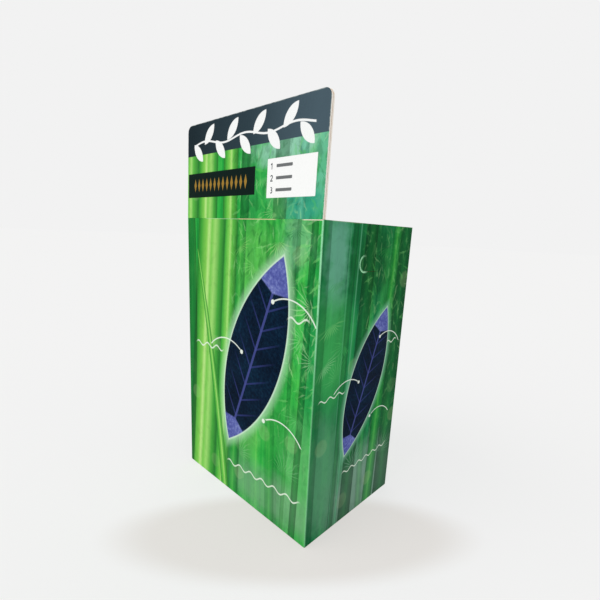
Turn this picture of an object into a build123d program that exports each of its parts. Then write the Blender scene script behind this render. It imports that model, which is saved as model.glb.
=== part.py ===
"""A free-standing display bin of corrugated board: an open bin with a header card at its front.

Millimetres. The origin is the middle of the footprint on the floor. The front faces -Y, one
hand hole faces +X and the other -X, and +Z is up.
"""

import os

from build123d import *

os.makedirs("parts", exist_ok=True)

# Board
board = 3.0  # thickness of the corrugated board
fold_radius = 2.5  # outside of a fold
slot_play = 0.6  # how much wider a slot is than the board in it
fit_play = 0.5  # gap at each side of a sheet that drops in
layer_gap = 0.3  # gap between flaps that lie on each other

# Bin body
bin_width = 350.0  # outside, along X
bin_depth = 250.0  # outside, along Y
bin_height = 527.0  # floor to rim
glue_flap_width = 35.0
glue_flap_inset = 10.0  # from the rim, and from the bottom flaps

# Hand holes, one in the middle of each side wall, cut all round but for a hinge at the top
hand_hole_width = 62.0
hand_hole_height = 26.0
hand_hole_drop = 62.0  # rim to the middle of the hole
hand_hole_slit = 0.6

# Snap-lock bottom
flap_rise = 36.0  # length over which a flap climbs from its crease to its layer
mitre_gap = 1.0  # between neighbouring flaps at the corners
flap_corner_radius = 14.0
front_flap_reach = 141.0  # from the front wall's inner face
back_flap_reach = 111.0  # from the back wall's inner face, without the tongue
side_flap_reach = 121.0  # from a side wall's inner face
hook_length = 78.0  # of a side flap's end, along Y
tongue_width = 78.0
tongue_climb = 40.0  # length over which the tongue climbs through the notch
tongue_lap = 25.0  # how far it then lies over the front flap
notch_play = 2.0  # at each side of the tongue

# Header card, two sheets glued face to face
header_rise = 165.0  # above the rim
header_lean = 1.4  # degrees that it leans back above the rim
header_setback = 0.3  # gap behind the front wall
header_inset = 1.2  # from the outside of each side wall
header_corner_radius = 12.0
header_foot_chamfer = 8.0
header_grip = 50.0  # how far it reaches below the raised floor's top

# Raised floor and the dividers that carry it
raised_floor_height = 300.0  # floor to its top face
raised_floor_flange = 60.0
flange_gap = 1.0  # between flanges at a corner
tongue_headroom = 0.6  # between the tongue and the divider over it

# Sizes that follow
inner_x = bin_width / 2 - board
inner_y = bin_depth / 2 - board
layer = board + layer_gap
slot_width = board + slot_play
header_back = -inner_y + header_setback + board
glue_flap_face = inner_y - board
front_flap_end = -inner_y + front_flap_reach
back_flap_end = inner_y - back_flap_reach
tongue_over = back_flap_end - tongue_climb  # where the tongue is over the front flap
tongue_end = tongue_over - tongue_lap
flap_stock = 3 * layer + 2 * board  # deep enough to hold every layer


def flap_side(plane, crease, end, climbs):
    """The side view of a flap: one board thick, and level but for its climbs.

    It is rooted inside the wall beyond the crease. Each climb is (start, end, height).
    """
    inward = 1 if end > crease else -1
    under = [(crease - inward * board / 2, 0)]
    height = 0
    for climb_start, climb_end, top in climbs:
        under += [(climb_start, height), (climb_end, top)]
        height = top
    under.append((end, height))
    under = [point for n, point in enumerate(under) if point != under[n - 1]]
    over = [(along, up + board) for along, up in reversed(under)]
    with BuildSketch(plane) as side:
        with BuildLine():
            Polyline(*under, *over, close=True)
        make_face()
    return side.sketch


# Front flap: the innermost layer, with a notch for the tongue
with BuildPart() as front_flap:
    front_climb = (-inner_y, -inner_y + flap_rise, 2 * layer)
    front_side = flap_side(Plane.YZ, -inner_y, front_flap_end, [front_climb])
    extrude(front_side, amount=inner_x, both=True)
    with BuildSketch() as front_outline:
        crease_half = inner_x - mitre_gap
        free_half = crease_half - flap_rise
        with BuildLine():
            Polyline(
                (-crease_half, -bin_depth / 2),
                (crease_half, -bin_depth / 2),
                (crease_half, -inner_y),
                (free_half, -inner_y + flap_rise),
                (free_half, front_flap_end),
                (-free_half, front_flap_end),
                (-free_half, -inner_y + flap_rise),
                (-crease_half, -inner_y),
                close=True,
            )
        make_face()
        fillet(front_outline.vertices().group_by(Axis.Y)[-1], flap_corner_radius)
        with Locations((0, front_flap_end)):
            Rectangle(
                tongue_width + 2 * notch_play,
                2 * (front_flap_end - tongue_over),
                mode=Mode.SUBTRACT,
            )
    extrude(amount=flap_stock, mode=Mode.INTERSECT)

# Side flaps: the middle layer, hooked at the front
with BuildPart() as side_flaps:
    hook_end = inner_x - side_flap_reach
    side_climb = (inner_x, inner_x - flap_rise, layer)
    extrude(flap_side(Plane.XZ, inner_x, hook_end, [side_climb]), amount=inner_y, both=True)
    with BuildSketch() as side_outline:
        crease_half = inner_y - mitre_gap
        free_half = crease_half - flap_rise
        with BuildLine():
            Polyline(
                (bin_width / 2, -crease_half),
                (bin_width / 2, crease_half),
                (inner_x, crease_half),
                (inner_x - flap_rise, free_half),
                (hook_end, hook_length - free_half),
                (hook_end, -free_half),
                (inner_x - flap_rise, -free_half),
                (inner_x, -crease_half),
                close=True,
            )
        make_face()
        fillet(side_outline.vertices().group_by(Axis.X)[0], flap_corner_radius)
    extrude(amount=flap_stock, mode=Mode.INTERSECT)
    mirror(about=Plane.YZ)

# Back flap: the outermost layer, with a tongue that climbs through the front flap's notch
with BuildPart() as back_flap:
    tongue_rise = (back_flap_end, tongue_over, 3 * layer)
    extrude(flap_side(Plane.YZ, inner_y, tongue_end, [tongue_rise]), amount=inner_x, both=True)
    with BuildSketch() as back_outline:
        crease_half = inner_x - mitre_gap
        free_half = crease_half - flap_rise
        with BuildLine():
            Polyline(
                (-crease_half, bin_depth / 2),
                (crease_half, bin_depth / 2),
                (crease_half, inner_y),
                (free_half, inner_y - flap_rise),
                (free_half, back_flap_end),
                (-free_half, back_flap_end),
                (-free_half, inner_y - flap_rise),
                (-crease_half, inner_y),
                close=True,
            )
        make_face()
        fillet(back_outline.vertices().group_by(Axis.Y)[0], flap_corner_radius)
        with BuildSketch(mode=Mode.PRIVATE) as tongue:
            with Locations((0, (inner_y + tongue_end) / 2)):
                Rectangle(tongue_width, inner_y - tongue_end)
            fillet(tongue.vertices().group_by(Axis.Y)[0], flap_corner_radius)
        add(tongue.sketch)
    extrude(amount=flap_stock, mode=Mode.INTERSECT)

# Bin body: four walls, the glued seam and the bottom flaps, one folded sheet
with BuildPart() as bin_body:
    seam_corner = (-bin_width / 2, bin_depth / 2)
    with BuildSketch() as wall_plan:
        Rectangle(bin_width, bin_depth)
        fillet(wall_plan.vertices().sort_by_distance(seam_corner)[1:], fold_radius)
        Rectangle(2 * inner_x, 2 * inner_y, mode=Mode.SUBTRACT)
    extrude(amount=bin_height)
    floor_edges = bin_body.faces().sort_by(Axis.Z)[0].outer_wire().edges()
    fillet(floor_edges, fold_radius)

    # The seam: beside the back wall's cut end, the side wall folds in to the glue flap
    with BuildSketch():
        with Locations((-bin_width / 2, inner_y)):
            Rectangle(fold_radius, fold_radius, align=(Align.MIN, Align.MAX))
        with Locations((-bin_width / 2 + fold_radius, inner_y - fold_radius)):
            Circle(fold_radius, mode=Mode.SUBTRACT)
    extrude(amount=bin_height, mode=Mode.SUBTRACT)
    glue_flap_foot = 3 * layer + board + glue_flap_inset
    with BuildSketch(Plane.XY.offset(glue_flap_foot)):
        with Locations((-inner_x, inner_y)):
            Rectangle(glue_flap_width, board, align=(Align.MIN, Align.MAX))
    extrude(amount=bin_height - glue_flap_foot - glue_flap_inset)

    add(front_flap.part)
    add(side_flaps.part)
    add(back_flap.part)

    # Hand holes: a slit round both ends and the lower edge
    with BuildSketch(Plane.YZ):
        with Locations((0, bin_height - hand_hole_drop)):
            SlotOverall(hand_hole_width, hand_hole_height)
            SlotOverall(
                hand_hole_width - 2 * hand_hole_slit,
                hand_hole_height - 2 * hand_hole_slit,
                mode=Mode.SUBTRACT,
            )
        with Locations((0, bin_height - hand_hole_drop + hand_hole_height / 2)):
            Rectangle(
                hand_hole_width - hand_hole_height,
                hand_hole_height / 2,
                mode=Mode.SUBTRACT,
            )
    extrude(amount=bin_width / 2, both=True, mode=Mode.SUBTRACT)
bin_body.part.label = "bin_body"
export_step(bin_body.part, "parts/bin_body.step")

# Header card: its front sheet stands on the front wall's rim, flush with the wall. Its back
# sheet has shoulders on the side walls and goes on down as a leg inside the front wall.
# Above the rim both lean back a little.
with BuildPart() as header_card:
    header_foot = raised_floor_height - header_grip
    leg_root = board / 2  # how far the leg reaches up into the leaning part
    with BuildSketch(Plane.XZ.offset(-header_back)) as leg:
        with Locations((0, header_foot)):
            Rectangle(
                2 * (inner_x - fit_play),
                bin_height + leg_root - header_foot,
                align=(Align.CENTER, Align.MIN),
            )
        chamfer(leg.vertices().group_by(Axis.Y)[0], header_foot_chamfer)
    extrude(amount=board)
    bend = Plane((0, header_back, bin_height), x_dir=(1, 0, 0), z_dir=(0, -1, 0))
    with BuildSketch(bend.rotated((-header_lean, 0, 0))) as card:
        Rectangle(
            bin_width - 2 * header_inset,
            header_rise,
            align=(Align.CENTER, Align.MIN),
        )
        fillet(card.vertices().group_by(Axis.Y)[-1], header_corner_radius)
    extrude(amount=2 * board)
header_card.part.label = "header_card"
export_step(header_card.part, "parts/header_card.step")

# Raised floor: a panel with four flanges turned down, between the header and the glue flap
floor_front = header_back + fit_play
floor_back = glue_flap_face - fit_play
floor_x = inner_x - fit_play
floor_middle = (floor_front + floor_back) / 2
with BuildPart() as raised_floor:
    with BuildSketch(Plane.XY.offset(raised_floor_height - raised_floor_flange)):
        with Locations((0, floor_middle)):
            Rectangle(2 * floor_x, floor_back - floor_front)
    extrude(amount=raised_floor_flange)
    fillet(raised_floor.faces().sort_by(Axis.Z)[-1].edges(), fold_radius)
    with BuildSketch(Plane.XY.offset(raised_floor_height - raised_floor_flange)):
        with Locations((0, floor_middle)):
            Rectangle(2 * (floor_x - board), floor_back - floor_front - 2 * board)
    extrude(amount=raised_floor_flange - board, mode=Mode.SUBTRACT)
    with BuildSketch(Plane.XY.offset(raised_floor_height - raised_floor_flange)):
        with Locations((0, floor_middle)):
            with GridLocations(
                2 * floor_x - board,
                floor_back - floor_front - 2 * board - flange_gap,
                2,
                2,
            ):
                Rectangle(board, flange_gap)
    extrude(amount=raised_floor_flange - board, mode=Mode.SUBTRACT)
raised_floor.part.label = "raised_floor"
export_step(raised_floor.part, "parts/raised_floor.step")

# Dividers: two panels slotted half way into each other, standing on the front flap
divider_foot = 2 * layer + board
divider_top = raised_floor_height - board
divider_middle = (divider_foot + divider_top) / 2
with BuildPart() as long_divider:
    with BuildSketch(Plane.XZ.offset(board / 2 - floor_middle)):
        with Locations((0, divider_foot)):
            Rectangle(
                2 * (floor_x - board - fit_play),
                divider_top - divider_foot,
                align=(Align.CENTER, Align.MIN),
            )
        with Locations((0, divider_top)):
            Rectangle(
                slot_width,
                divider_top - divider_middle,
                align=(Align.CENTER, Align.MAX),
                mode=Mode.SUBTRACT,
            )
    extrude(amount=-board)
long_divider.part.label = "long_divider"
export_step(long_divider.part, "parts/long_divider.step")

with BuildPart() as short_divider:
    tongue_top = 3 * layer + board
    with BuildSketch(Plane.YZ.offset(-board / 2)):
        with Locations((floor_middle, divider_foot)):
            Rectangle(
                floor_back - floor_front - 2 * (board + fit_play),
                divider_top - divider_foot,
                align=(Align.CENTER, Align.MIN),
            )
            Rectangle(
                slot_width,
                divider_middle - divider_foot,
                align=(Align.CENTER, Align.MIN),
                mode=Mode.SUBTRACT,
            )
        with Locations(((tongue_over + tongue_end) / 2, divider_foot)):
            Rectangle(
                tongue_lap + tongue_climb,
                tongue_top + tongue_headroom - divider_foot,
                align=(Align.CENTER, Align.MIN),
                mode=Mode.SUBTRACT,
            )
    extrude(amount=board)
short_divider.part.label = "short_divider"
export_step(short_divider.part, "parts/short_divider.step")
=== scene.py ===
"""The looks of a free-standing display bin of corrugated board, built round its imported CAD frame."""

import math

import bmesh
import bpy
from mathutils import Matrix, Vector


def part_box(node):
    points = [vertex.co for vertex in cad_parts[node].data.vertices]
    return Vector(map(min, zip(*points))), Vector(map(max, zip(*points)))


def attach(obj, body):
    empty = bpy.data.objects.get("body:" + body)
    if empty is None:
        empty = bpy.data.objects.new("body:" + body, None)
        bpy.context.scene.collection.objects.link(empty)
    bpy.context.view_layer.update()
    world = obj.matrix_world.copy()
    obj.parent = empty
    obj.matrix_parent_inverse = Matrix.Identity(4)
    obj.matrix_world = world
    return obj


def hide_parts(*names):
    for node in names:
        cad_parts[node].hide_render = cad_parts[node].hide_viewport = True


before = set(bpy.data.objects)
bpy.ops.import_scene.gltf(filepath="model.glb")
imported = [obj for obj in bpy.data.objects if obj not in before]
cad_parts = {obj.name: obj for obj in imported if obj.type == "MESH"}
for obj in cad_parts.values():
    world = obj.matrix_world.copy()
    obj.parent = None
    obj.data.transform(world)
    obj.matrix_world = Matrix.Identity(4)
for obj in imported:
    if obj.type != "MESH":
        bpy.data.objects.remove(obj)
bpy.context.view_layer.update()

MM = 0.001

# Sizes of the object, in metres, read from the frame
bin_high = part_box("bin_body")[1]
card_low, card_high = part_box("header_card")
half_x = bin_high.x
half_y = bin_high.y
rim = bin_high.z
top = card_high.z
divider_low, divider_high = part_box("long_divider")
board = divider_high.y - divider_low.y

# The header card is two sheets thick, and leans back from its bend at the rim
header_lean = math.radians(1.4)
card_up = Vector((0.0, math.sin(header_lean), math.cos(header_lean)))
card_front = Vector((0.0, -math.cos(header_lean), math.sin(header_lean)))
card_bend = Vector((0.0, card_low.y - 2 * board * card_front.y, rim))
card_rise = (top - rim - 2 * board * card_front.z) / card_up.z

# Sizes of the board, in metres
fold_radius = 2.5 * MM
liner = 0.4 * MM  # paper on each side of the flutes
medium = 0.25 * MM  # paper of the flutes themselves
flute_pitch = 6.5 * MM
flute_steps = 10  # straight pieces that one wave is made of
flute_depth = 1.3 * MM  # how deep one sees between the liners
flank_depth = 0.35 * MM  # and where the cut runs along the flutes
flute_setback = 0.15 * MM  # the flutes end a little below the liners
flute_root = 1.0 * MM  # how far they go on below what one sees
flute_swing = (board - 2 * liner - medium) / 2
groove_slant = liner / 20  # the sides of the groove stand nearly upright
fold_reach = 7.0 * MM  # the fold crushes the flutes this far from a corner
card_corner_radius = 12.0 * MM

# How small a distance counts, in metres, and how sharp an edge stays sharp
same_plane = MM / 10
same_corner = MM / 1000
sliver = MM / 20
cut_slack = MM / 100
sharp_angle = math.radians(35)

# How much the papers shine and how rough they are, the latter in metres
print_gloss = 0.02
print_relief = 0.04 * MM
kraft_relief = 0.12 * MM
cut_relief = 0.1 * MM

# The sheets and the hand hole, in millimetres
wide = 2 * half_x / MM
narrow = 2 * half_y / MM
wall_height = rim / MM
sheet_top = top / MM
ridge_turn = 2 * math.pi * MM / flute_pitch  # turn of the flutes' wave in a millimetre
hand_hole_width = 62.0
hand_hole_height = 26.0
hand_hole_level = 465.0

# Heights on the header card, in millimetres above the floor
band_foot = 638.0
stem_level = 656.0
label_foot = 564.0
label_top = 607.0
panel_foot = 558.0
panel_top = 614.6

# The camera of the photograph: picture and focal length in pixels, sensor in millimetres and
# place in metres
frame_width = 600.0
sensor = 36.0
focal_pixels = 384.20
camera_place = Vector((0.5243, -0.5324, 0.5069))
camera_right = Vector((0.71773, 0.69481, 0.04595))
camera_up = Vector((-0.18499, 0.12665, 0.97455))
camera_back = Vector((0.67130, -0.70796, 0.21943))
camera_shift = (0.0022, 0.0336)
camera_sight = 100.0  # how far it sees, in metres

# The studio: its light, its colours, and the floor with a soft oval of painted shadow in its colour,
# in millimetres
sky_light = 0.62
backdrop = "f2f2f2"
floor_reach = 30000.0
# painted shadow: the colour, middle, turn and reach of a soft darker oval on the floor
floor_shade = "e4e1de"
shade_middle = (141.8, -111.9)
shade_turn = -0.825
shade_reach = (298.0, 101.0)
shade_fade = (1.17, 0.78)  # between these shares of its reach the shade fades in
shadow_softening = 0.72  # how much of the floor glows and takes no shadow
glow_strength = 1.056


def linear(code):
    """A colour written as six hex digits of sRGB, as the linear RGBA that nodes take."""
    levels = [int(code[n : n + 2], 16) / 255 for n in (0, 2, 4)]
    return [c / 12.92 if c <= 0.04045 else ((c + 0.055) / 1.055) ** 2.4 for c in levels] + [1.0]


def plug(tree, value, socket):
    """Links a field, place or colour to a socket, or writes a plain value there."""
    if isinstance(value, (Field, Place, Paint)):
        tree.links.new(value.socket, socket)
    elif isinstance(value, str):
        socket.default_value = linear(value)
    else:
        socket.default_value = value


class Field:
    """A number that varies over a surface, worked out by Math nodes."""

    def __init__(self, tree, socket):
        self.tree = tree
        self.socket = socket

    def math(self, operation, *others):
        node = self.tree.nodes.new("ShaderNodeMath")
        node.operation = operation
        for value, socket in zip((self, *others), node.inputs):
            plug(self.tree, value, socket)
        return Field(self.tree, node.outputs[0])

    def __add__(self, other):
        return self.math("ADD", other)

    def __sub__(self, other):
        return self.math("SUBTRACT", other)

    def __rsub__(self, other):
        return (self * -1.0) + other

    def __mul__(self, other):
        return self.math("MULTIPLY", other)

    def __truediv__(self, other):
        return self.math("DIVIDE", other)

    def size(self):
        return self.math("ABSOLUTE")

    def root(self):
        return self.math("SQRT")

    def least(self, other):
        return self.math("MINIMUM", other)

    def most(self, other):
        return self.math("MAXIMUM", other)

    def wave(self):
        return self.math("SINE")

    def saw(self):
        return self.math("FRACT")

    def ease(self, start, end, low=0.0, high=1.0):
        """Goes smoothly from low at start to high at end, and stays level outside them."""
        node = self.tree.nodes.new("ShaderNodeMapRange")
        node.interpolation_type = "SMOOTHSTEP"
        for value, name in (
            (self, "Value"),
            (start, "From Min"),
            (end, "From Max"),
            (low, "To Min"),
            (high, "To Max"),
        ):
            plug(self.tree, value, node.inputs[name])
        return Field(self.tree, node.outputs["Result"])

    def ramp(self, *stops):
        """A colour for each value: stops are (value, colour code), in rising order."""
        node = self.tree.nodes.new("ShaderNodeValToRGB")
        points = node.color_ramp.elements
        while len(points) < len(stops):
            points.new(0.5)
        for point, (place, code) in zip(points, stops):
            point.position = place
            point.color = linear(code)
        plug(self.tree, self, node.inputs[0])
        return Paint(self.tree, node.outputs[0])


class Place:
    """A point on a surface, in millimetres, worked out by Vector Math nodes."""

    def __init__(self, tree, socket):
        self.tree = tree
        self.socket = socket

    def _node(self, operation, *others):
        node = self.tree.nodes.new("ShaderNodeVectorMath")
        node.operation = operation
        for value, socket in zip((self, *others), node.inputs):
            plug(self.tree, value, socket)
        return node

    def vector(self, operation, *others):
        return Place(self.tree, self._node(operation, *others).outputs["Vector"])

    def number(self, operation, *others):
        return Field(self.tree, self._node(operation, *others).outputs["Value"])

    def __sub__(self, other):
        return self.vector("SUBTRACT", _triple(other))

    def stretched(self, x, y, z=1.0):
        return self.vector("MULTIPLY", (x, y, z))

    def distance(self, point):
        return self.number("DISTANCE", _triple(point))

    def along(self, x, y):
        """How far the place lies along that direction."""
        return self.number("DOT_PRODUCT", (x, y, 0.0))

    def turned(self, angle):
        node = self.tree.nodes.new("ShaderNodeVectorRotate")
        node.rotation_type = "Z_AXIS"
        plug(self.tree, self, node.inputs["Vector"])
        plug(self.tree, angle, node.inputs["Angle"])
        return Place(self.tree, node.outputs[0])

    def parts(self):
        node = self.tree.nodes.new("ShaderNodeSeparateXYZ")
        plug(self.tree, self, node.inputs[0])
        return [Field(self.tree, output) for output in node.outputs]

    def noise(self, size, detail=2.0, roughness=0.5, distortion=0.0):
        """Noise from 0 to 1 with patches about that many millimetres wide."""
        node = self.tree.nodes.new("ShaderNodeTexNoise")
        plug(self.tree, self, node.inputs["Vector"])
        node.inputs["Scale"].default_value = 1.0 / size
        node.inputs["Detail"].default_value = detail
        node.inputs["Roughness"].default_value = roughness
        node.inputs["Distortion"].default_value = distortion
        return Field(self.tree, node.outputs["Fac"])

    def wobbled(self, size, reach):
        """The place moved about by noise, so that a shape drawn there gets a ragged edge."""
        noise = self.noise(size, detail=3.0, roughness=0.6)
        colour = noise.socket.node.outputs["Color"]
        moved = Place(self.tree, colour).vector("SUBTRACT", (0.5, 0.5, 0.5))
        return self.vector("ADD", moved.vector("MULTIPLY", (reach, reach, 0.0)))

    def cells(self, size, spread=0.8):
        """The place from the middle of its cell, and a random number that the cell has."""
        node = self.tree.nodes.new("ShaderNodeTexVoronoi")
        node.voronoi_dimensions = "2D"
        plug(self.tree, self, node.inputs["Vector"])
        node.inputs["Scale"].default_value = 1.0 / size
        node.inputs["Randomness"].default_value = spread
        middle = Place(self.tree, node.outputs["Position"])
        chance = self.tree.nodes.new("ShaderNodeSeparateColor")
        self.tree.links.new(node.outputs["Color"], chance.inputs[0])
        return self - middle, Field(self.tree, chance.outputs[0])


def _triple(value):
    """A pair of numbers as a vector on the sheet, and anything else as it is."""
    return (value[0], value[1], 0.0) if isinstance(value, tuple) else value


class Paint:
    """A colour that varies over a surface."""

    def __init__(self, tree, socket):
        self.tree = tree
        self.socket = socket

    def under(self, colour, mask):
        """This colour with another over it where the mask is 1."""
        node = self.tree.nodes.new("ShaderNodeMix")
        node.data_type = "RGBA"
        plug(self.tree, mask, node.inputs[0])
        plug(self.tree, self, node.inputs[6])
        plug(self.tree, colour, node.inputs[7])
        return Paint(self.tree, node.outputs[2])


def leaf(place, length, width):
    """Distance from the edge of a pointed leaf that lies along Y round the origin of the place."""
    half_length = length / 2
    half_width = width / 2
    radius = (half_length**2 + half_width**2) / (2 * half_width)
    offset = radius - half_width
    return place.distance((offset, 0.0)).most(place.distance((-offset, 0.0))) - radius


def segment(place, start, end, width):
    """Distance from the edge of a round-ended stroke between two points."""
    middle = ((start[0] + end[0]) / 2, (start[1] + end[1]) / 2)
    run = Vector(end) - Vector(start)
    angle = math.atan2(run.y, run.x)
    local = (place - middle).turned(-angle)
    beyond = local.vector("ABSOLUTE") - (run.length / 2, 0.0)
    return beyond.vector("MAXIMUM", (0.0, 0.0, 0.0)).number("LENGTH") - width / 2


def arc(place, middle, radius, width, toward, cut):
    """Distance from the edge of a stroke round a middle, kept where it lies past the cut."""
    from_middle = place - middle
    ring = (from_middle.number("LENGTH") - radius).size() - width / 2
    gate = from_middle.along(*toward) * -1.0 + cut
    return ring.most(gate)


def box_edge(place, middle, half_width, half_height, corner=0.8):
    """Distance from the edge of a rectangle with round corners."""
    beyond = (place - middle).vector("ABSOLUTE") - (half_width - corner, half_height - corner)
    return beyond.vector("MAXIMUM", (0.0, 0.0, 0.0)).number("LENGTH") - corner


def inside(distance, soft=0.5):
    """1 inside a shape, 0 outside, from the distance to its edge."""
    return distance.ease(soft, -soft)


def object_place(tree):
    """The place in the object's own axes, in millimetres."""
    coordinates = tree.nodes.new("ShaderNodeTexCoord")
    return Place(tree, coordinates.outputs["Object"]).stretched(1 / MM, 1 / MM, 1 / MM)


def surface_place(tree, width):
    """Millimetres to the right of a wall's left edge and above the floor, as seen from outside.

    The width says which walls are meant: the wide pair in front and behind or the narrow pair.
    """
    x, y, z = object_place(tree).parts()
    right = x * y.math("SIGN") * -1.0 if width == wide else y * x.math("SIGN")
    join = tree.nodes.new("ShaderNodeCombineXYZ")
    plug(tree, right + width / 2, join.inputs[0])
    plug(tree, z, join.inputs[1])
    return Place(tree, join.outputs[0])


def new_material(name):
    """A new material, its node tree and its shader."""
    material = bpy.data.materials.new(name)
    material.use_nodes = True
    tree = material.node_tree
    shader = tree.nodes["Principled BSDF"]
    return material, tree, shader


def bump(tree, shader, height, distance):
    """Roughens a shader's surface: heights from 0 to 1 stand for that distance, in metres."""
    node = tree.nodes.new("ShaderNodeBump")
    node.inputs["Distance"].default_value = distance
    node.inputs["Strength"].default_value = 1.0
    plug(tree, height, node.inputs["Height"])
    tree.links.new(node.outputs[0], shader.inputs["Normal"])


# The printed picture, in millimetres on its sheet

# Tones of the blurred ground, from shade to light
tone_levels = (0.28, 0.42, 0.52, 0.62, 0.78)
bright_tones = tuple(zip(tone_levels, ("0e5e2c", "188c39", "2aae45", "4cc651", "84da69")))
deep_tones = tuple(zip(tone_levels, ("0a4430", "126a40", "1e8a4e", "38a858", "68c470")))

# Broad blades: where the foot is, how far the tip leans and bends, the tip's height, half the
# width, which of blade_shades they have and how clearly they show
front_blades = (
    (262, -20, 20, 1500, 13, 1, 0.4),
    (318, 18, 10, 1700, 8, 0, 0.6),
    (292, 14, 4, 1900, 5, 0, 0.35),
    (152, 22, -16, 1400, 17, 1, 0.7),
    (112, 30, -10, 2600, 24, 2, 0.9),
    (42, 44, -40, 2600, 50, 3, 1.0),
    (-14, 64, -60, 700, 26, 0, 0.65),
    (128, -70, -30, 470, 13, 2, 0.9),
)
side_blades = (
    (224, 4, 10, 1700, 26, 0, 0.7),
    (178, 22, 10, 1900, 17, 1, 0.75),
    (148, -24, 20, 1500, 10, 1, 0.3),
    (104, 18, -4, 2600, 19, 0, 0.7),
    (78, 14, -4, 2600, 2.4, 4, 0.5),
    (64, 14, -6, 2600, 8, 0, 0.45),
    (60, 6, -6, 2600, 1.6, 4, 0.35),
    (2, 8, -10, 2200, 13, 0, 0.4),
)
header_blades = (
    (6, 4, 0, 9000, 30, 2, 0.9),
    (62, 6, 0, 9000, 34, 3, 1.0),
    (142, -4, 0, 9000, 22, 2, 1.0),
    (176, 2, 0, 9000, 12, 0, 0.6),
    (258, 4, 0, 9000, 16, 0, 0.5),
    (300, 6, 0, 9000, 9, 5, 0.6),
)
blade_edge = (1.02, 0.9)  # between these shares of its half width a blade fades in
blade_shades = (
    ((0.0, "042e18"), (0.3, "0b4f26"), (0.5, "176a30"), (0.62, "0e5a2a"), (1.0, "042c17")),
    ((0.0, "0c602b"), (0.3, "249638"), (0.5, "52b84c"), (0.6, "2c9a3c"), (1.0, "0c5627")),
    ((0.0, "1c6c2e"), (0.22, "4cb440"), (0.45, "8ad65e"), (0.52, "b2e682"), (0.66, "60bc48"),
     (1.0, "1f702c")),
    ((0.0, "186a2c"), (0.14, "42a83a"), (0.34, "84d056"), (0.42, "beea8c"), (0.52, "7acc54"),
     (0.64, "a0dd74"), (0.82, "48aa40"), (1.0, "1a6a2c")),
    ((0.0, "2f8f5a"), (0.5, "74c298"), (1.0, "2f8f5a")),
    ((0.0, "2f8f72"), (0.5, "6acaa6"), (1.0, "2a8068")),
)

# Soft patches of colour, the pale grey-green and teal ones being painted sheen and haze: middle, half
# width, half height, colour and strength
glade_edge = (1.25, 0.35)  # between these shares of its reach a glade fades in
front_glades_and_sheen = (
    (265, 200, 70, 90, "3fae4c", 0.5),
    (200, 455, 85, 85, "66c257", 0.55),
    (338, 300, 26, 190, "2fa659", 0.5),
    # painted sheen: a pale grey-green patch high on the right
    (306, 498, 40, 50, "7fb394", 0.5),
    (330, 120, 50, 120, "6cc274", 0.6),
    # painted haze: grey-green along the foot
    (240, 50, 170, 56, "8bb092", 0.5),
    (190, 150, 40, 60, "7cc46a", 0.4),
)
side_glades_and_sheen = (
    (130, 470, 76, 90, "04481f", 0.75),
    (226, 480, 40, 70, "0a7032", 0.8),
    # painted sheen: a pale teal-grey patch high on the left
    (36, 466, 32, 92, "6cb094", 0.85),
    (36, 330, 50, 110, "46b45c", 0.65),
    (212, 330, 50, 150, "0a6430", 0.6),
    (186, 430, 24, 70, "2c9a44", 0.4),
    # painted haze: grey-green along the foot
    (170, 50, 150, 92, "86a696", 0.85),
    (40, 120, 56, 110, "5d9c74", 0.75),
    (100, 220, 60, 70, "23884a", 0.5),
)
header_glades_and_sheen = (
    (215, 570, 60, 60, "37a853", 0.6),
    (306, 552, 64, 40, "36a08a", 0.85),
    # painted haze: a pale teal band below the top band
    (275, 630, 96, 32, "98d2b8", 0.9),
    (342, 600, 16, 70, "6cc6a0", 0.7),
    (262, 545, 26, 26, "74c46e", 0.5),
)

# Leaves gather between these shares of the sheet's width and between these heights
leafy_across = (0.34, 0.5)
leafy_above = (60.0, 330.0)

# Layers of loose narrow leaves: length, width, the way they lie and how far they stray from
# it, shift, colour and strength
leaf_layers = (
    (34.0, 3.0, 0.5, 1.8, (71.0, 13.0), "0c6a30", 0.5),
    (28.0, 2.4, -0.7, 1.6, (13.0, 57.0), "58c25c", 0.5),
    (32.0, 2.4, 0.8, 1.6, (3.0, 5.0), "7ed678", 0.45),
    (26.0, 2.0, -0.3, 1.9, (31.0, 17.0), "a8e69a", 0.38),
    (22.0, 1.7, 0.4, 2.2, (47.0, 29.0), "c0f0b4", 0.26),
)

# Fans of narrow leaves: middle, reach, number all round, leaf width, the way they spread,
# colour and strength
front_fans = (
    (262, 492, 62, 21, 3.3, (0.1, -1.0), "a5e08a", 0.4),
    (206, 452, 52, 21, 3.0, (-0.6, -0.8), "86d972", 0.36),
    (292, 440, 48, 23, 2.7, (-0.3, -1.0), "137a3a", 0.4),
    (338, 402, 66, 23, 3.1, (-0.9, -0.5), "a9e3a0", 0.5),
    (324, 352, 56, 25, 2.7, (-0.8, -0.7), "8fdc92", 0.42),
    (346, 322, 50, 21, 2.5, (-0.9, -0.6), "b4e8b0", 0.35),
    (300, 512, 44, 21, 2.7, (0.1, -1.0), "127038", 0.45),
    (168, 484, 46, 23, 2.5, (0.7, -0.8), "9bdd7c", 0.35),
    (322, 222, 54, 23, 3.0, (-0.4, -1.0), "6cca74", 0.35),
    (172, 96, 56, 25, 3.0, (0.6, 0.8), "8fd08a", 0.28),
    (296, 110, 56, 23, 3.1, (0.1, 1.0), "7cc484", 0.35),
)
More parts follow.
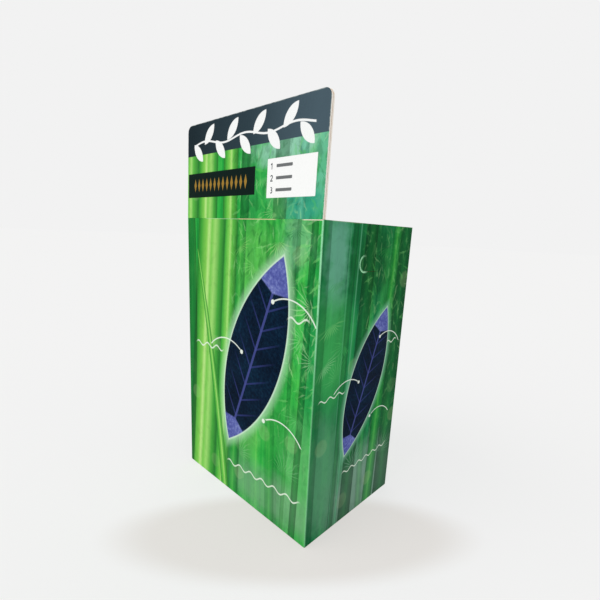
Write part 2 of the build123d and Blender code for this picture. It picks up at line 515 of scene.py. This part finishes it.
side_fans = (
    (30, 376, 58, 23, 3.1, (0.4, -1.0), "7fd07c", 0.45),
    (70, 338, 56, 23, 2.8, (-0.7, -0.8), "4fc064", 0.42),
    (20, 312, 52, 25, 2.7, (0.6, -0.6), "a3dfa6", 0.4),
    (54, 286, 48, 25, 2.3, (-0.6, 0.7), "6cc878", 0.35),
    (40, 440, 40, 23, 2.3, (0.3, -1.0), "3f9f4c", 0.45),
    (168, 492, 50, 23, 2.8, (0.0, -1.0), "2f9c44", 0.4),
    (206, 424, 46, 21, 2.7, (-0.5, -0.9), "1f8a3f", 0.4),
    (120, 100, 54, 23, 2.8, (-0.2, 1.0), "86b098", 0.35),
    (212, 92, 52, 25, 2.7, (0.2, 1.0), "93b8a0", 0.32),
)
header_fans = (
    (222, 588, 42, 23, 2.3, (0.2, -1.0), "7ccf7e", 0.5),
    (250, 540, 36, 25, 2.0, (-0.5, -0.5), "a3dd94", 0.5),
    (196, 560, 34, 23, 1.9, (0.3, -1.0), "1d7f45", 0.45),
    (338, 590, 46, 27, 1.9, (-0.4, -1.0), "86d6bc", 0.5),
)

# The large leaf on each wall, and the veins at its sides
emblem_length = 316.0
emblem_width = 110.0
emblem_tilt = 0.36
vein_slope = 0.85
vein_pitch = 31.0

# Lines beside the large leaf: where the dot is, the middle and radius of its arc, the way the
# arc lies from that middle, and how far out it is cut off
dot_radius = 3.2
callout_line = 1.7
callout_edge = 0.6
callout_arcs = (
    ((38.0, 88.0), (66.0, 38.0), 57.3, (0.25, 1.0), 42.0),
    ((-26.0, 4.0), (-62.0, -42.0), 58.4, (-0.1, 1.0), 45.0),
    ((26.0, -86.0), (58.0, -128.0), 52.8, (0.2, 1.0), 40.0),
)

# Soft waves below the arcs: left end, right end and level
callout_waves = ((66.0, 106.0, 70.0), (-148.0, -70.0, -8.0), (-60.0, 104.0, -188.0))

# Stretches of the cut upper edge where the paper under the print shows, with a painted highlight along
# the rim: ends, colour, strength
wide_lips = (
    (66.0, 162.0, "b9e6b0", 0.5),
    (162.0, 254.0, "d8d3a0", 0.95),
    (312.0, 354.0, "f0ead2", 1.0),
)
narrow_lips = ((20.0, 90.0, "c9d8b0", 0.25),)


def meadow(place, tones, blades, glades_and_sheen):
    """Blurred grass: soft upright streaks and patches of colour, some of them painted sheen and haze,
    with broad blades before them.
    """
    across, height, _ = place.parts()
    streaks = place.stretched(1.0, 0.045).noise(26.0, detail=3.0, roughness=0.55)
    fine = place.stretched(1.0, 0.03).noise(7.0)
    clouds = place.noise(110.0)
    colour = (streaks * 0.66 + fine * 0.2 + clouds * 0.3 - 0.07).ramp(*tones)
    ragged = place.wobbled(38.0, reach=60.0)
    # patches of print colour, and painted sheen and haze where the table says so
    for x, y, half_width, half_height, tint, strength in glades_and_sheen:
        away = (ragged - (x, y)).stretched(1 / half_width, 1 / half_height).number("LENGTH")
        colour = colour.under(tint, away.ease(*glade_edge) * strength)
    for foot, lean, bend, tip, half_width, kind, clear in blades:
        share = height / tip
        middle = share * (share * bend + lean * tip / wall_height) + foot
        taper = (1.0 - share).most(0.0).root() * half_width
        side = (across - middle) / taper.most(0.01)
        mask = side.size().ease(*blade_edge) * clear
        colour = colour.under((side * 0.5 + 0.5).ramp(*blade_shades[kind]), mask)
    return colour


def loose_leaves(place, length, leaf_width, lie, stray):
    """Mask of narrow pointed leaves strewn about, one in each cell, each turned its own way."""
    cell, chance = place.cells(length, spread=1.0)
    x, y, _ = cell.turned((chance - 0.5) * stray + lie).parts()
    share = y / (0.5 * length)
    slim = x.size() / leaf_width + share * share
    there = (chance * 37.0).saw().ease(0.15, 0.8)
    return slim.ease(1.1, 0.5) * there


def fan(place, middle, reach, leaves, leaf_width, toward):
    """Mask of narrow pointed leaves that spread from a point, each with a length of its own."""
    local = place - middle
    x, y, _ = local.parts()
    away = local.number("LENGTH")
    curl = away * (0.4 / reach)
    turn = y.math("ARCTAN2", x) * (leaves / (2 * math.pi)) + curl
    chance = (turn.math("FLOOR") * 12.9).wave()
    own_length = (chance * 0.3 + 0.7) * reach
    apart = (turn.saw() + chance * 0.2 - 0.5).size() * away * (2 * math.pi / leaves)
    share = away / own_length
    half = (share - share * share).most(0.0) * (2.0 * leaf_width)
    ahead = local.along(*toward) / away.most(0.1)
    return (half - apart).ease(0.0, 0.9) * ahead.ease(-0.1, 0.5) * share.ease(1.0, 0.5, low=0.3)


def foliage(place, colour, sheet_width, fans, loose):
    """Dabs of light and shade and feathery leaves beside the blades, and a few soft discs."""
    across, height, _ = place.parts()
    left, right = (share * sheet_width for share in leafy_across)
    region = across.ease(left, right) * height.ease(*leafy_above)
    dabs = place.stretched(1.0, 0.6).noise(14.0, detail=4.0, roughness=0.6, distortion=0.7)
    colour = colour.under("054a20", dabs.ease(0.52, 0.34) * (region * 0.26 + 0.1))
    colour = colour.under("7fd07c", dabs.ease(0.56, 0.76) * (region * 0.4 + 0.06))
    bent = place.wobbled(24.0, reach=14.0)
    for length, leaf_width, lie, stray, shift, tint, strength in leaf_layers:
        clump = (place - shift).noise(52.0, detail=1.0).ease(0.4, 0.58)
        leaves = loose_leaves(bent - shift, length, leaf_width, lie, stray)
        colour = colour.under(tint, leaves * clump * region * (strength * loose))
    curled = place.wobbled(30.0, reach=12.0)
    for x, y, reach, leaves, leaf_width, toward, tint, strength in fans:
        colour = colour.under(tint, fan(curled, (x, y), reach, leaves, leaf_width, toward) * strength)
    cell, chance = (place - (40.0, 3.0)).cells(70.0, spread=0.9)
    disc = cell.number("LENGTH").ease(17.0, 12.0)
    return colour.under("d5f2b0", disc * chance.ease(0.6, 1.0) * 0.1)


def emblem(place, colour, middle, scale, glow):
    """A large dark leaf with violet veins and ends, and a pale glow round it."""
    local = (place - middle).turned(emblem_tilt).stretched(1 / scale, 1 / scale)
    edge = leaf(local, emblem_length, emblem_width)
    tint, strength = glow
    colour = colour.under(tint, edge.ease(17.0, -1.0) * 0.66 * strength)
    colour = colour.under("e6f7ea", edge.ease(3.8, 0.4) * 0.6 * strength)
    x, y, _ = local.parts()
    off_rib = x.size()
    weave = local.noise(5.0, detail=3.0) * 0.5 + local.noise(60.0) * 0.5
    ribs = (x * 2.6).wave() * 0.5 + 0.5
    navy = (weave * 0.9 + ribs * 0.1).ramp((0.3, "020a18"), (0.5, "051a30"), (0.7, "0e3048"))
    off_vein = (((y - off_rib * vein_slope) / vein_pitch).saw() - 0.5).size()
    navy = navy.under("3a4286", off_vein.ease(0.07, 0.04) * off_rib.ease(47.0, 6.0) * 0.55)
    navy = navy.under("4a5298", off_rib.ease(2.6, 1.6) * 0.75)
    violet = weave.ramp((0.35, "444b94"), (0.5, "5f68b0"), (0.7, "94a0d6"))
    tip = (y - off_rib * 0.3).ease(104.0, 107.0)
    heel = (y + off_rib * 0.35).ease(-112.0, -115.0)
    navy = navy.under(violet, tip.most(heel))
    return colour.under(navy, inside(edge, 0.7))


def callouts(place, colour, middle, scale):
    """Thin white arcs that end in a dot, and soft waves beside them."""
    local = (place - middle).stretched(1 / scale, 1 / scale)
    masks = []
    for dot, arc_middle, radius, toward, cut in callout_arcs:
        masks.append(inside(local.distance(dot) - dot_radius, callout_edge))
        line = arc(local, arc_middle, radius, callout_line, toward, cut)
        masks.append(inside(line, callout_edge))
    white = masks[0]
    for mask in masks[1:]:
        white = white.most(mask)
    colour = colour.under("f2fbf0", white * 0.95)
    x, y, _ = local.parts()
    for left, right, level in callout_waves:
        ripple = ((x - left) * 0.24).wave() * 3.2
        stroke = (y - level - ripple - (x - left) * 0.06).size().ease(1.7, 0.8)
        span = x.ease(left - 2.0, left + 8.0) * x.ease(right + 2.0, right - 8.0)
        colour = colour.under("eaf7e6", stroke * span * 0.85)
    return colour


def paper(tree, shader, place, colour):
    """Print on coated paper: a little mottle, fine fibres and the flutes showing through."""
    across = place.parts()[0]
    mottle = place.noise(3.0, detail=4.0, roughness=0.6)
    ridges = (across * ridge_turn).wave()
    plug(tree, colour.under("ffffff", mottle.ease(0.62, 0.8) * 0.012), shader.inputs["Base Color"])
    sheen = place.noise(48.0, detail=3.0)
    plug(tree, sheen.ease(0.3, 0.7, low=0.36, high=0.48), shader.inputs["Roughness"])
    shader.inputs["Specular IOR Level"].default_value = print_gloss
    bump(tree, shader, ridges * 0.5 + mottle * 0.25 + place.noise(80.0) * 2.0, print_relief)


def folds_with_wear_and_highlight(place, colour, sheet_width, lips):
    """Pale rubbed paper and a painted highlight along both upright folds and on stretches of the cut
    upper edge.
    """
    across, height, _ = place.parts()
    rubbed = place.stretched(1.0, 0.25).noise(4.0, detail=4.0, roughness=0.65)
    from_fold = across.least(sheet_width - across)
    # wear and a painted highlight: a pale mint line along the folds, strongest high up
    fold_wear_and_highlight = from_fold.ease(2.8, 0.9) * rubbed.ease(0.2, 0.5)
    fade = height.ease(230.0, 430.0, low=0.35)
    colour = colour.under("a2ecb8", fold_wear_and_highlight * fade)
    # paper showing and a painted highlight along the cut upper edge
    lip = (wall_height - height).ease(1.7, 0.7)
    for start, end, tint, strength in lips:
        stretch = across.ease(start - 4.0, start + 4.0) * across.ease(end + 4.0, end - 4.0)
        colour = colour.under(tint, lip * stretch * strength)
    foot = height.ease(2.5, 0.5) * rubbed.ease(0.3, 0.55)
    return colour.under("c7d6c0", foot * 0.5)


def hand_hole_line(place, colour, sheet_width):
    """Pale paper where the slit of the hand hole has cracked the print, at its left end alone."""
    reach = (hand_hole_width - hand_hole_height) / 2
    middle = sheet_width / 2
    start, end = (middle - reach, hand_hole_level), (middle + reach, hand_hole_level)
    crack = segment(place, start, end, hand_hole_height).size().ease(2.0, 0.7)
    left_end = (middle - hand_hole_width / 2, hand_hole_level - 5.0)
    near_left = place.distance(left_end).ease(25.0, 14.0)
    return colour.under("b4fcc8", crack * near_left * 0.95)


def wall_print(name, width, tones, blades, glades_and_sheen, fans, loose, middle, scale, glow, lips):
    """The picture on one pair of walls that face each other."""
    material, tree, shader = new_material(name)
    place = surface_place(tree, width)
    colour = meadow(place, tones, blades, glades_and_sheen)
    colour = foliage(place, colour, width, fans, loose)
    colour = emblem(place, colour, middle, scale, glow)
    colour = callouts(place, colour, middle, scale)
    colour = folds_with_wear_and_highlight(place, colour, width, lips)
    if width == narrow:
        colour = hand_hole_line(place, colour, width)
    paper(tree, shader, place, colour)
    return material


def numeral(place, number, middle, height):
    """Distance from the edge of the numeral 1, 2 or 3."""
    x, y = middle
    width = 0.16 * height

    def at(right, up):
        return x + right * height, y + up * height

    if number == 1:
        stem = segment(place, at(0.0, -0.42), at(0.0, 0.42), width)
        return stem.least(segment(place, at(0.0, 0.42), at(-0.2, 0.25), width))
    if number == 2:
        bow = arc(place, at(0.0, 0.2), 0.22 * height, width, (0.45, 1.0), -0.08 * height)
        slope = segment(place, at(0.17, 0.06), at(-0.22, -0.42), width)
        return bow.least(slope).least(segment(place, at(-0.22, -0.42), at(0.24, -0.42), width))
    upper = arc(place, at(0.0, 0.21), 0.2 * height, width, (1.0, 0.25), -0.08 * height)
    return upper.least(arc(place, at(0.0, -0.2), 0.23 * height, width, (1.0, -0.2), -0.1 * height))


def garland(place, colour):
    """The grey-blue band, lighter to the right with painted sheen, with a waved white stem and plain
    leaves on both sides of it.
    """
    across, height, _ = place.parts()
    # painted sheen: the band's colour grows lighter toward the right
    slate_sheen_stops = ((0.1, "1b2a31"), (0.6, "2f4049"), (1.0, "4a5d68"))
    slate_and_sheen = (across / wide + place.noise(120.0) * 0.15).ramp(*slate_sheen_stops)
    colour = colour.under(slate_and_sheen, height.ease(band_foot - 0.5, band_foot + 0.5))
    off_stem = (height - stem_level - ((across - 30.0) * 0.055).wave() * 4.0).size()
    stem = off_stem.ease(1.9, 1.1) * (across - 176.0).size().ease(150.0, 148.0)
    colour = colour.under("fafcfc", stem)
    for number in range(9):
        side = 1 if number % 2 else -1
        local = (place - (38.0 + 34.0 * number, stem_level + side * 14.0)).turned(side * 0.75)
        colour = colour.under("fafcfc", inside(leaf(local, 42.0, 18.0)))
    return colour


def dark_label(place, colour):
    """A dark label with a gold frame and a row of lozenges."""
    middle_x, middle_y = 103.0, (label_foot + label_top) / 2
    label = box_edge(place, (middle_x, middle_y), 99.0, (label_top - label_foot) / 2)
    colour = colour.under("0e201c", inside(label))
    gold = inside((label + 5.0).size() - 0.5)
    for number in range(13):
        local = place - (middle_x - 75.0 + 12.5 * number, middle_y)
        gem = local.vector("ABSOLUTE").along(1.9, 0.62) - 7.2
        gold = gold.most(inside(gem))
    return colour.under("a88438", gold * 0.9)


def white_panel(place, colour):
    """A white panel with three numbered bars."""
    middle = (281.5, (panel_foot + panel_top) / 2)
    panel = box_edge(place, middle, 50.5, (panel_top - panel_foot) / 2)
    colour = colour.under("fdfefe", inside(panel))
    for number in (1, 2, 3):
        level = panel_top - 11.0 - 17.2 * (number - 1)
        figure = inside(numeral(place, number, (241.0, level), 9.5), soft=0.35)
        bar = inside(box_edge(place, (268.0, level), 17.0, 2.3, corner=1.0), soft=0.35)
        colour = colour.under("2a3338", figure.most(bar * 0.85))
    return colour


def header_print():
    """The picture on the front of the header card, rubbed at its border."""
    material, tree, shader = new_material("header_print")
    place = surface_place(tree, wide)
    colour = meadow(place, bright_tones, header_blades, header_glades_and_sheen)
    colour = foliage(place, colour, wide, header_fans, 1.0)
    colour = garland(place, colour)
    colour = dark_label(place, colour)
    colour = white_panel(place, colour)
    across, height, _ = place.parts()
    width = (card_high.x - card_low.x) / MM
    rubbed = place.stretched(0.3, 1.0).noise(4.0, detail=4.0, roughness=0.65)
    border = (across - 1.0).least(width + 1.0 - across).least(sheet_top - height)
    colour = colour.under("b9c4c0", border.ease(1.4, 0.3) * rubbed.ease(0.4, 0.62) * 0.7)
    paper(tree, shader, place, colour)
    return material


def kraft_board(name, ridge_run):
    """Brown inner liner with long fibres, and the flutes under it as soft ridges along one way, with
    faint painted shade along them.
    """
    material, tree, shader = new_material(name)
    place = object_place(tree)
    ridges = (place.number("DOT_PRODUCT", ridge_run) * ridge_turn).wave()
    clouds = place.noise(60.0, detail=3.0)
    fibres = place.stretched(1.0, 1.0, 0.12).noise(1.6, detail=3.0, roughness=0.6)
    specks = place.noise(0.9)
    # painted shade: the ridges also tint the colour a little, as faint shade along the flutes
    tone = clouds * 0.4 + fibres * 0.4 + specks * 0.12 + ridges * 0.045 + 0.03
    colour = tone.ramp((0.32, "b48e62"), (0.5, "c6a277"), (0.68, "d6b58e"))
    colour = colour.under("8f6a42", specks.ease(0.66, 0.72) * 0.5)
    plug(tree, colour, shader.inputs["Base Color"])
    plug(tree, fibres.ease(0.3, 0.7, low=0.78, high=0.9), shader.inputs["Roughness"])
    bump(tree, shader, ridges * 0.6 + fibres * 0.3 + specks * 0.3, kraft_relief)
    return material


def cut_board(name, *codes):
    """Cut edge of the board, in three tones of paper with fibres along the cut."""
    material, tree, shader = new_material(name)
    place = object_place(tree)
    fibres = place.noise(0.8, detail=3.0, roughness=0.6)
    clouds = place.noise(22.0)
    colour = (fibres * 0.6 + clouds * 0.4).ramp(*zip((0.3, 0.5, 0.7), codes))
    plug(tree, colour, shader.inputs["Base Color"])
    plug(tree, fibres.ease(0.3, 0.7, low=0.82, high=0.94), shader.inputs["Roughness"])
    bump(tree, shader, fibres, cut_relief)
    return material


surfaces = {
    "wide": wall_print(
        "wide_print", wide, bright_tones, front_blades, front_glades_and_sheen, front_fans, loose=1.1,
        middle=(208.0, 292.0), scale=1.22, glow=("b9e8bc", 1.0), lips=wide_lips,
    ),
    "narrow": wall_print(
        "narrow_print", narrow, deep_tones, side_blades, side_glades_and_sheen, side_fans, loose=0.55,
        middle=(140.0, 260.0), scale=0.86, glow=("8fd0ae", 0.8), lips=narrow_lips,
    ),
    "header": header_print(),
    "kraft": kraft_board("kraft_liner", (1.0, 1.0, 0.0)),
    "level kraft": kraft_board("level_kraft_liner", (1.0, 0.0, 0.0)),
    "cut": cut_board("liner_edge", "ebd9c2", "f4e7d5", "f9f0e3"),
    "flute": cut_board("flute_paper", "d3ae88", "e2c3a0", "ecd4b8"),
    # painted shade: the floor of the groove between the liners is a darker brown
    "groove_shade": cut_board("flute_shade", "b08a64", "c39d76", "d2ae88"),
    "flank": cut_board("flute_flank", "f4eade", "faf3ea", "fdf9f3"),
    "glue": cut_board("glued_liners", "b89a78", "c6a886", "d2b796"),
    # painted shade: the slit's walls are dark green, as the shut slit shows only shade
    "slit": cut_board("slit_painted_shade", "0a3a22", "104a2a", "185832"),
}


# Shares of a normal above which a face lies on that side, squarely on it, or exactly on it
facing = 0.5
square = 0.9
exact = 0.9999


def wall_side(centre, normal):
    """The surface of the folded bin that a face lies on."""
    if normal.y < -facing and normal.y <= -abs(normal.x) and centre.y < -half_y + fold_radius:
        return "wide"
    if normal.x < -facing and centre.x < -half_x + fold_radius:
        return "cut" if centre.y > half_y - board else "narrow"
    if normal.y > facing and centre.y > half_y - fold_radius / 2:
        return "wide"
    if normal.x > facing and centre.x > half_x - fold_radius:
        return "narrow"
    if abs(normal.z) > square and centre.z > rim - MM:
        return "cut"
    inner_x = half_x - board
    inner_y = half_y - board
    on_side_wall = abs(abs(centre.x) - inner_x) < same_plane
    on_long_wall = abs(abs(centre.y) - inner_y) < same_plane
    on_glue_flap = abs(centre.y - inner_y + board) < same_plane
    if on_side_wall or on_long_wall or on_glue_flap:
        return "kraft"
    # painted shade: faces inside the hand hole's slit get dark green
    if abs(centre.x) > inner_x and abs(centre.z - hand_hole_level * MM) < hand_hole_height * MM:
        return "slit"
    return "level kraft" if abs(normal.z) > facing else "cut"


def card_side(centre, normal):
    """The surface of the header card that a face lies on."""
    if normal.y < -square:
        return "header" if centre.z > rim else "kraft"
    return "kraft" if normal.y > square else "cut"


def plain_side(centre, normal):
    """The surface of an unprinted sheet that a face lies on."""
    return "level kraft" if abs(normal.z) > facing else "kraft"


def corners_of(faces):
    """The faces' corners, each once and always in the same order."""
    return [*dict.fromkeys(vert for face in faces for vert in face.verts)]


def with_borders(faces):
    """The faces with their corners and edges, each once and always in the same order."""
    edges = dict.fromkeys(edge for face in faces for edge in face.edges)
    return [*corners_of(faces), *edges, *faces]


def open_edge(bm, faces, wall, floor, depth):
    """Sinks the middle of a cut edge, so that the two liners stand and a groove lies between them."""
    bmesh.ops.inset_region(bm, faces=faces, thickness=liner, use_even_offset=True)
    sides = bmesh.ops.inset_region(
        bm, faces=faces, thickness=groove_slant, depth=-depth, use_even_offset=False
    )
    for face in sides["faces"]:
        face.material_index = wall
    for face in faces:
        face.material_index = floor


def flute_line(bm, start, end, across, up, material, crest=None):
    """The wavy paper between the liners, along a cut edge from start to end.

    The crest, if given, says how far each point of the edge lies below the straight line.
    """
    ahead = (end - start).normalized()
    length = (end - start).length
    steps = round(length / flute_pitch * flute_steps)
    turn = 2 * math.pi / flute_pitch
    rings = []
    for n in range(steps + 1):
        run = length * n / steps
        sag = crest(run) if crest else 0.0
        slope = -flute_swing * turn * math.sin(turn * run)
        side = (across - ahead * slope).normalized() * medium / 2
        middle = start + ahead * run + across * flute_swing * math.cos(turn * run)
        upper = middle - up * (sag + flute_setback)
        lower = middle - up * (sag + flute_depth + flute_root)
        corners = (upper - side, upper + side, lower + side, lower - side)
        rings.append([bm.verts.new(corner) for corner in corners])
    faces = [bm.faces.new(rings[0][::-1]), bm.faces.new(rings[-1])]
    for ring, following in zip(rings, rings[1:]):
        for n in range(4):
            corners = (ring[n], ring[n - 1], following[n - 1], following[n])
            faces.append(bm.faces.new(corners))
    for face in faces:
        face.material_index = material


def open_bin_rim(bm, index):
    """Opens the rim between the folds, and the back wall's cut end at the glued seam."""

    def rim_faces():
        top_level = rim - same_plane
        return [f for f in bm.faces if f.normal.z > square and f.calc_center_median().z > top_level]

    up = Vector((0.0, 0.0, 1.0))
    reach = (half_x - fold_reach, half_y - fold_reach)
    middle = (half_x - board / 2, half_y - board / 2)
    for axis, sign in ((0, 1), (0, -1), (1, 1), (1, -1)):
        place, normal = Vector(), Vector()
        place[axis] = sign * reach[axis]
        normal[axis] = 1.0
        geometry = with_borders(rim_faces())
        bmesh.ops.bisect_plane(bm, geom=geometry, plane_co=place, plane_no=normal)
    bmesh.ops.remove_doubles(bm, verts=corners_of(rim_faces()), dist=sliver)
    for sign in (-1, 1):
        for along, away in ((0, 1), (1, 0)):
            run = []
            for face in rim_faces():
                centre = face.calc_center_median()
                if abs(centre[along]) < reach[along] and sign * centre[away] > reach[away]:
                    run.append(face)
            # painted shade: the groove's floor takes the darker brown
            open_edge(bm, run, index["kraft"], index["groove_shade"], flute_depth)
            start, end, across = Vector(), Vector(), Vector()
            start[along], end[along], across[away] = -reach[along], reach[along], 1.0
            start[away] = end[away] = sign * middle[away]
            start.z = end.z = rim
            flute_line(bm, start, end, across, up, index["flute"])
    seam = [f for f in bm.faces if f.normal.x < -exact and f.material_index == index["cut"]
            and f.calc_center_median().x < same_plane - half_x]
    open_edge(bm, seam, index["kraft"], index["flank"], flank_depth)


def open_card_edges(bm, index):
    """Opens both sheets of the header card: waves along the top, the flutes' flanks at the sides."""
    glued = card_bend + card_front * board
    edge = [face for face in bm.faces if abs(face.normal.y) < facing]
    geometry = with_borders(edge)
    bmesh.ops.bisect_plane(
        bm, geom=geometry, plane_co=glued, plane_no=card_front, dist=cut_slack
    )
    half_width = card_high.x
    margin = liner * 2

    def before_glue(face):
        return (face.calc_center_median() - glued).dot(card_front)

    def corner_sag(run):
        past = abs(run + margin - half_width) - (half_width - card_corner_radius)
        return card_corner_radius - math.sqrt(card_corner_radius**2 - max(past, 0.0) ** 2)

    for side in (-1, 1):
        sheet = [f for f in bm.faces if abs(f.normal.y) < facing and side * before_glue(f) > 0]
        open_edge(bm, sheet, index["flank"], index["flank"], flank_depth)
        middle = glued + card_front * side * board / 2 + card_up * card_rise
        start = middle - Vector((half_width - margin, 0.0, 0.0))
        end = middle + Vector((half_width - margin, 0.0, 0.0))
        flute_line(bm, start, end, card_front, card_up, index["flute"], crest=corner_sag)
    for face in bm.faces:
        if abs(before_glue(face)) < liner and face.material_index == index["cut"]:
            face.material_index = index["glue"]


def board_piece(name, side, names, finish):
    """A copy of a CAD node with a material on each surface, and its cut edges opened where a finish is
    given.
    """
    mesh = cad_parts[name].data.copy()
    mesh.name = name + "_board"
    mesh.materials.clear()
    for surface in names:
        mesh.materials.append(surfaces[surface])
    index = {surface: number for number, surface in enumerate(names)}
    bm = bmesh.new()
    bm.from_mesh(mesh)
    bmesh.ops.remove_doubles(bm, verts=bm.verts, dist=same_corner)
    for face in bm.faces:
        face.smooth = True
        face.material_index = index[side(face.calc_center_median(), face.normal)]
    if finish:
        finish(bm, index)
    for edge in bm.edges:
        edge.smooth = edge.calc_face_angle(math.pi) < sharp_angle
    bm.to_mesh(mesh)
    bm.free()
    piece = bpy.data.objects.new(mesh.name, mesh)
    bpy.context.scene.collection.objects.link(piece)
    weigh = piece.modifiers.new("flat faces stay flat", "WEIGHTED_NORMAL")
    weigh.keep_sharp = True
    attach(piece, "root")
    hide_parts(name)


wall_names = ["wide", "narrow", "kraft", "level kraft", "cut", "groove_shade", "flute", "flank", "slit"]
board_piece("bin_body", wall_side, wall_names, open_bin_rim)
card_names = ["header", "kraft", "cut", "flank", "glue", "flute"]
board_piece("header_card", card_side, card_names, open_card_edges)
for node in ("raised_floor", "long_divider", "short_divider"):
    board_piece(node, plain_side, ["kraft", "level kraft"], None)


def add_camera():
    """The camera of the photograph."""
    data = bpy.data.cameras.new("camera")
    data.sensor_width = sensor
    data.lens = focal_pixels / frame_width * sensor
    data.shift_x, data.shift_y = camera_shift
    data.clip_end = camera_sight
    camera = bpy.data.objects.new("camera", data)
    bpy.context.scene.collection.objects.link(camera)
    turn = Matrix((camera_right, camera_up, camera_back)).transposed().to_4x4()
    camera.matrix_world = Matrix.Translation(camera_place) @ turn
    bpy.context.scene.camera = camera


def add_sun(name, toward, strength, degrees, colour):
    """A soft lamp at a great distance, as many degrees wide as said."""
    data = bpy.data.lights.new(name, "SUN")
    data.energy = strength
    data.angle = math.radians(degrees)
    data.color = linear(colour)[:3]
    lamp = bpy.data.objects.new(name, data)
    bpy.context.scene.collection.objects.link(lamp)
    lamp.rotation_euler = Vector(toward).to_track_quat("-Z", "Y").to_euler()


def add_world():
    """Even light from all round, with the backdrop's colour where the camera sees past the floor."""
    world = bpy.data.worlds.new("studio")
    bpy.context.scene.world = world
    world.use_nodes = True
    tree = world.node_tree
    tree.nodes.clear()
    output = tree.nodes.new("ShaderNodeOutputWorld")
    light = tree.nodes.new("ShaderNodeBackground")
    light.inputs["Color"].default_value = (1.0, 1.0, 1.0, 1.0)
    light.inputs["Strength"].default_value = sky_light
    seen = tree.nodes.new("ShaderNodeBackground")
    seen.inputs["Color"].default_value = linear(backdrop)
    path = tree.nodes.new("ShaderNodeLightPath")
    mix = tree.nodes.new("ShaderNodeMixShader")
    tree.links.new(path.outputs["Is Camera Ray"], mix.inputs[0])
    tree.links.new(light.outputs[0], mix.inputs[1])
    tree.links.new(seen.outputs[0], mix.inputs[2])
    tree.links.new(mix.outputs[0], output.inputs[0])


def add_floor():
    """A wide pale floor that shows the backdrop's colour and keeps a soft shadow, with a soft oval of
    shadow painted into its colour.
    """
    mesh = bpy.data.meshes.new("floor")
    reach = floor_reach * MM
    corners = [(-reach, -reach, 0), (reach, -reach, 0), (reach, reach, 0), (-reach, reach, 0)]
    mesh.from_pydata(corners, [], [(0, 1, 2, 3)])
    floor = bpy.data.objects.new("floor", mesh)
    bpy.context.scene.collection.objects.link(floor)
    material, tree, shader = new_material("floor")
    # painted shadow: a soft darker oval in the floor's own colour
    local = (object_place(tree) - shade_middle).turned(shade_turn)
    local = local.stretched(1 / shade_reach[0], 1 / shade_reach[1])
    painted_shadow_pool = local.number("LENGTH").ease(*shade_fade)
    tone = painted_shadow_pool.ramp((0.0, backdrop), (1.0, floor_shade))
    shader.inputs["Roughness"].default_value = 1.0
    shader.inputs["Specular IOR Level"].default_value = 0.0
    plug(tree, tone, shader.inputs["Base Color"])
    glow = tree.nodes.new("ShaderNodeEmission")
    glow.inputs["Strength"].default_value = glow_strength
    plug(tree, tone, glow.inputs["Color"])
    path = tree.nodes.new("ShaderNodeLightPath")
    share = Field(tree, path.outputs["Is Camera Ray"]) * shadow_softening
    mix = tree.nodes.new("ShaderNodeMixShader")
    plug(tree, share, mix.inputs[0])
    tree.links.new(shader.outputs[0], mix.inputs[1])
    tree.links.new(glow.outputs[0], mix.inputs[2])
    tree.links.new(mix.outputs[0], tree.nodes["Material Output"].inputs[0])
    mesh.materials.append(material)


add_camera()
add_world()
add_sun("key", toward=(0.35, 0.8, -0.75), strength=1.1, degrees=50.0, colour="fffdf8")
add_sun("fill", toward=(-0.9, 0.35, -0.5), strength=0.3, degrees=80.0, colour="f6f9ff")
add_floor()
bpy.context.scene.view_settings.view_transform = "Standard"
